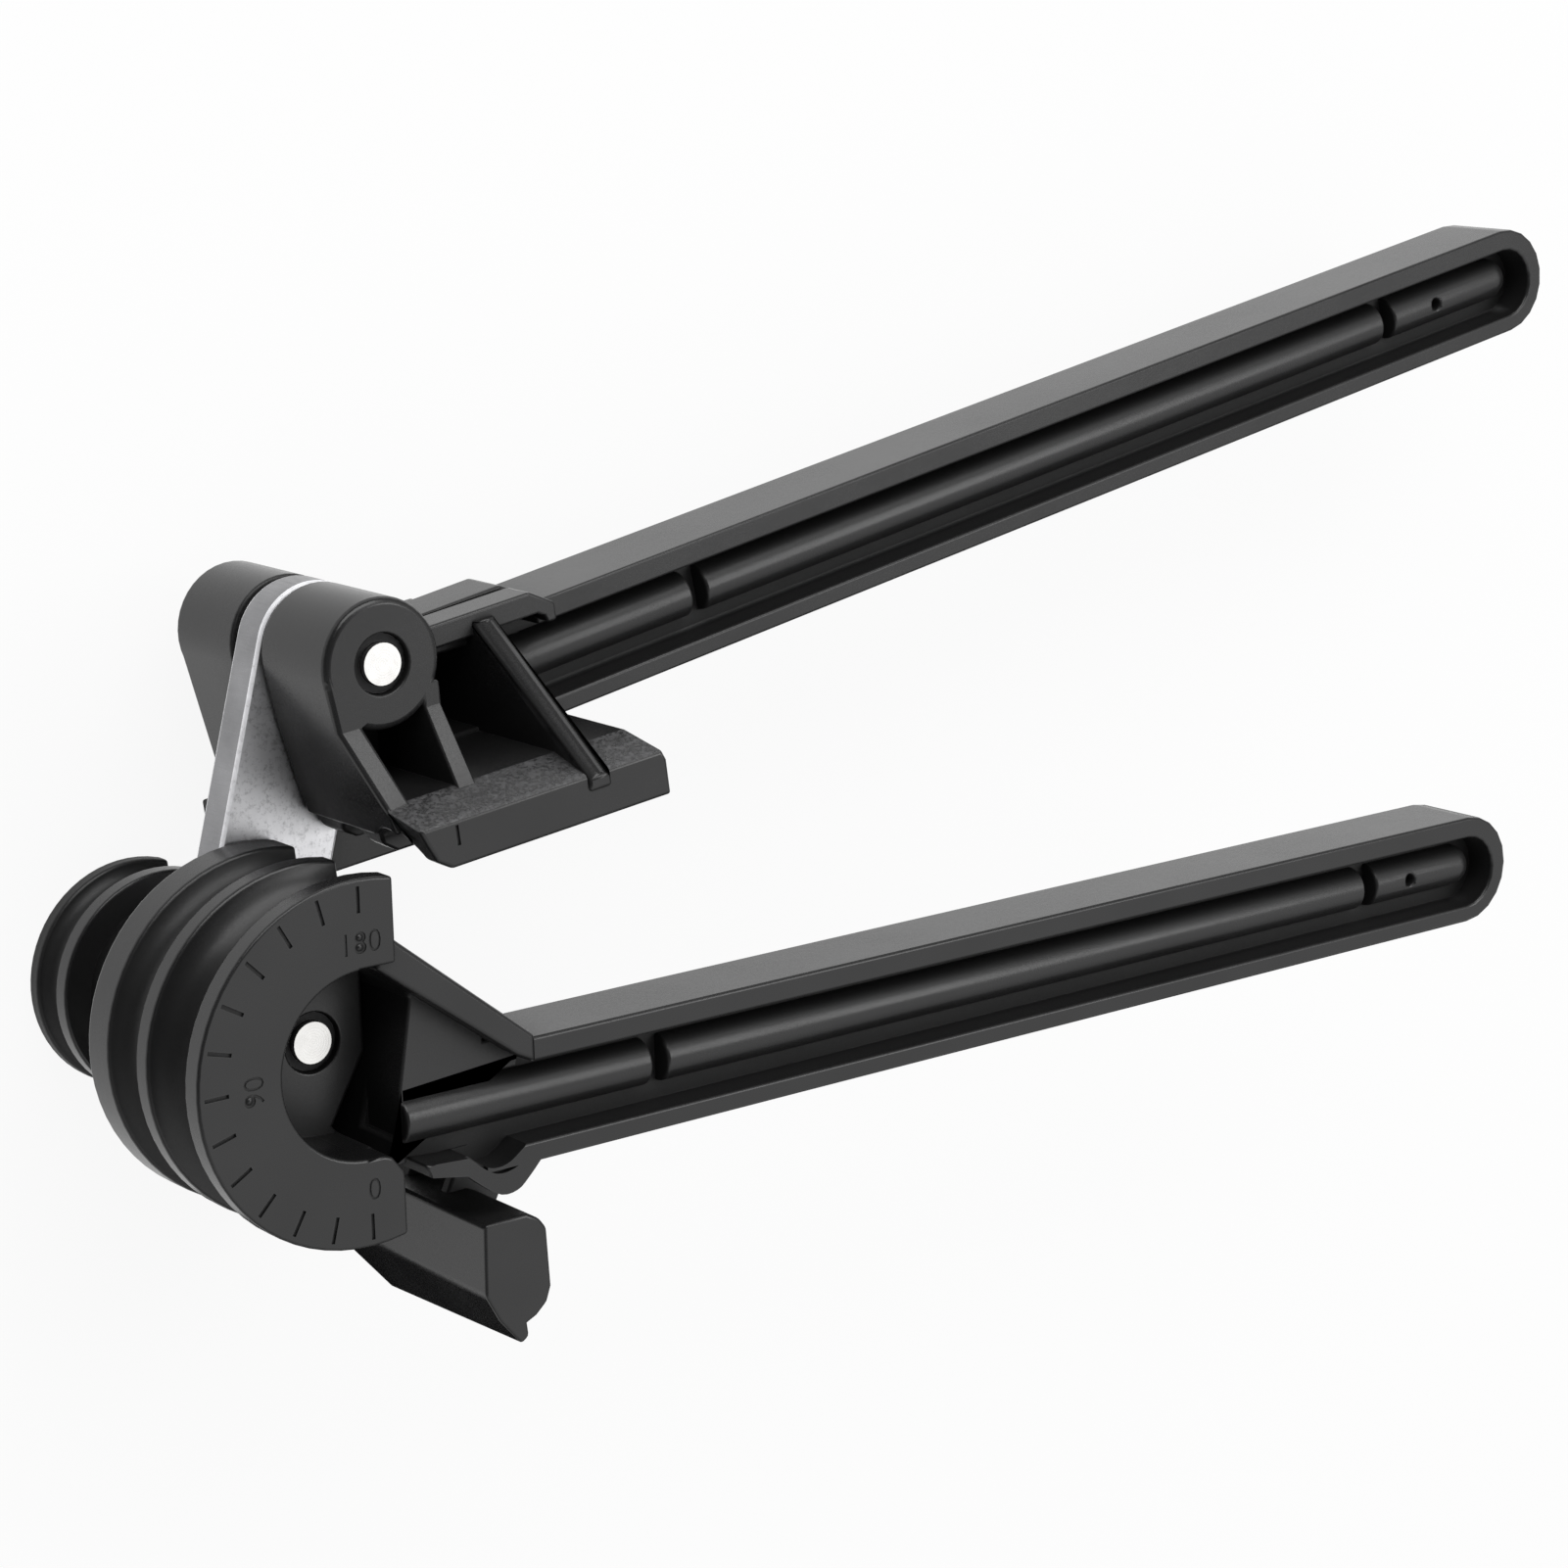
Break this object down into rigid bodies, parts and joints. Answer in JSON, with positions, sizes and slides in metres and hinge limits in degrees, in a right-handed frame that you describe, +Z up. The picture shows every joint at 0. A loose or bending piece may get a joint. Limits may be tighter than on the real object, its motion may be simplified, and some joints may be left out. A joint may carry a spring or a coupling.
{
  "type": "tube bender",
  "caption": "Hand bender for thin metal tube: grooved forming wheel with an angle dial, bending shoe on a swinging link, tube latch and long channel handles.",
  "frame": {"origin": "on the main pivot axis at the back of the rear wheel, where the main pin's end is flush with the casting", "axes": "the bender lies on its back: +Z up along the pivot axis towards the dial, +X along the lower handle, +Y towards the dial's 180 mark"},
  "size_m": [0.2578, 0.1244, 0.0575],
  "materials": {
    "black_coat": "die casting with a fine black powder coat",
    "black_latch": "die casting, satin black coat",
    "pin_steel": "bright turned steel",
    "link_chrome": "bright chrome plate",
    "black_steel": "blackened spring steel"
  },
  "bodies": {
    "wheel_handle": {"lower_casting": "black_coat", "main_pin": "pin_steel", "main_front_ring": "black_steel", "main_rear_ring": "black_steel", "main_washer": "pin_steel", "latch_pin": "pin_steel", "latch_pin_clip": "black_steel"},
    "link": {"link_plate": "link_chrome"},
    "shoe_handle": {"upper_casting": "black_coat", "upper_pin": "pin_steel", "upper_front_ring": "black_steel", "upper_rear_ring": "black_steel", "upper_washer": "pin_steel"},
    "latch": {"tube_latch": "black_latch"}
  },
  "joints": [
    {"name": "link_swing", "type": "hinge", "parent": "wheel_handle", "child": "link", "pos_m": [0, 0, 0.0268], "axis": [0, 0, 1], "range_deg": [-3, 195.3]},
    {"name": "shoe_swing", "type": "hinge", "parent": "link", "child": "shoe_handle", "pos_m": [0.01256, 0.04591, 0.0268], "axis": [0, 0, 1], "range_deg": [-22, 40]},
    {"name": "latch_swing", "type": "hinge", "parent": "wheel_handle", "child": "latch", "pos_m": [0.03, -0.0126, 0.0371], "axis": [0, 0, 1], "range_deg": [-5, 50]}
  ]
}
